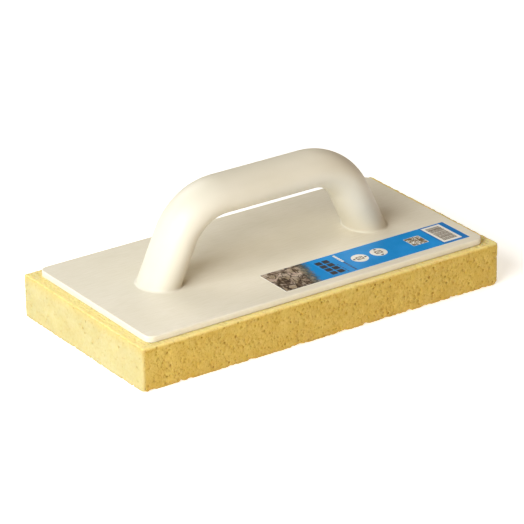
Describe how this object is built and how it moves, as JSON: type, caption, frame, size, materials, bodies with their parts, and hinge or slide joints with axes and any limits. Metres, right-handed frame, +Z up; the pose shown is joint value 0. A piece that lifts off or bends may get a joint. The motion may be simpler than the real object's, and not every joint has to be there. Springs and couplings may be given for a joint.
{
  "type": "grout float",
  "caption": "Rectangular foam sponge pad glued under a flat plastic plate, with a bowed oval tube handle for wiping grout from tiles.",
  "frame": {"origin": "centre of the sponge's working face, which is the object's base", "axes": "+X along the sponge's long side towards the label's end, +Z up through the handle"},
  "size_m": [0.28, 0.142, 0.0976],
  "materials": {
    "sponge_foam": "open-cell yellow hydro foam",
    "glue": "dull contact adhesive",
    "plate_plastic": "cream, finely textured",
    "handle_plastic": "cream, satin",
    "plug_plastic": "natural, matte",
    "fastener_steel": "bright zinc plate",
    "label_film": "printed film, mostly blue"
  },
  "bodies": {
    "root": {"sponge_pad": "sponge_foam", "adhesive_film": "glue", "backing_plate": "plate_plastic", "handle_tube": "handle_plastic", "foot_plug_left": "plug_plastic", "foot_plug_right": "plug_plastic", "screw_left": "fastener_steel", "screw_right": "fastener_steel", "washer_left": "fastener_steel", "washer_right": "fastener_steel", "label": "label_film"}
  },
  "joints": []
}
